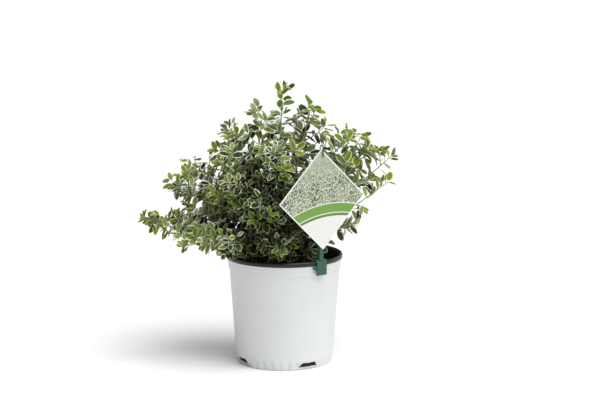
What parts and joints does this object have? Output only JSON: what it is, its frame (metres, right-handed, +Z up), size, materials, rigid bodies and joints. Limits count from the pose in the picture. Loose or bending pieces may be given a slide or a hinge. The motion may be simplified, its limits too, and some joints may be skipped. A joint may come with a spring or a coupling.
{
  "type": "potted wintercreeper",
  "caption": "Variegated wintercreeper in a white nursery pot: leafy sprays on boughs from a short stem, potting mix, and a plain label card on a rim clip.",
  "frame": {"origin": "centre of the pot's flat underside, on the pot's axis", "axes": "+Z up along the pot's axis, -Y the side that faces the viewer, +X to the right with the label"},
  "size_m": [0.4926, 0.3726, 0.5363],
  "materials": {
    "pot": "satin white outside, black inside and over the rolled lip",
    "potting_mix": "dark damp bark and peat mix",
    "main_stem": "rough grey-brown bark",
    "bough_bark": "green-brown young bark",
    "foliage": "leathery green leaves with cream-white margins",
    "label_card": "printed plastic card",
    "label_holder": "dark green moulded plastic"
  },
  "bodies": {
    "root": {"pot": "pot", "potting_mix": "potting_mix", "main_stem": "main_stem", "bough_top_centre": "bough_bark", "bough_top_right": "bough_bark", "bough_top_left": "bough_bark", "bough_front_upper": "bough_bark", "bough_shoulder_left": "bough_bark", "bough_shoulder_front": "bough_bark", "bough_left_upper": "bough_bark", "bough_left_outer": "bough_bark", "bough_left_long": "bough_bark", "bough_left_low": "bough_bark", "bough_front_left": "bough_bark", "bough_front_centre": "bough_bark", "bough_front_low": "bough_bark", "bough_front_right": "bough_bark", "bough_right_shoulder": "bough_bark", "bough_right_upper": "bough_bark", "bough_right_middle": "bough_bark", "bough_right_outer": "bough_bark", "bough_right_low": "bough_bark", "bough_back_left": "bough_bark", "bough_back_middle": "bough_bark", "bough_back_right": "bough_bark", "foliage_top_centre": "foliage", "foliage_top_right": "foliage", "foliage_top_left": "foliage", "foliage_front_upper": "foliage", "foliage_shoulder_left": "foliage", "foliage_shoulder_front": "foliage", "foliage_left_upper": "foliage", "foliage_left_outer": "foliage", "foliage_left_long": "foliage", "foliage_left_low": "foliage", "foliage_front_left": "foliage", "foliage_front_centre": "foliage", "foliage_front_low": "foliage", "foliage_front_right": "foliage", "foliage_right_shoulder": "foliage", "foliage_right_upper": "foliage", "foliage_right_middle": "foliage", "foliage_right_outer": "foliage", "foliage_right_low": "foliage", "foliage_back_left": "foliage", "foliage_back_middle": "foliage", "foliage_back_right": "foliage", "label_card": "label_card", "label_holder": "label_holder"}
  },
  "joints": []
}
